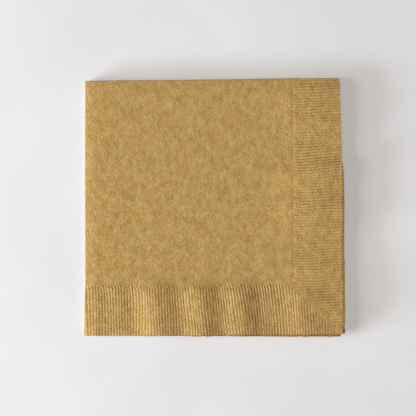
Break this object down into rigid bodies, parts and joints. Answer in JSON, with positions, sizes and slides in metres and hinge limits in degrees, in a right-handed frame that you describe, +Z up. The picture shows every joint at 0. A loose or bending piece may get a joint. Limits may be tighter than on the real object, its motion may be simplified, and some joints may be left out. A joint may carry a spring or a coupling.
{
  "type": "paper napkin",
  "caption": "Square tissue napkin folded in quarters, with a fold on its left and far sides and a ribbed, slightly gathered border along its open sides.",
  "frame": {"origin": "middle of the outline, on the surface that the napkin lies on", "axes": "+Z up through the layers; the fold of the doubled sheet is on the -X side, the first fold on the +Y side, and the ribbed open edges are on the +X and -Y sides"},
  "size_m": [0.1292, 0.129, 0.0041],
  "materials": {
    "tissue_paper": "matte, embossed tissue, gold brown all through"
  },
  "bodies": {
    "root": {"napkin": "tissue_paper"}
  },
  "joints": []
}
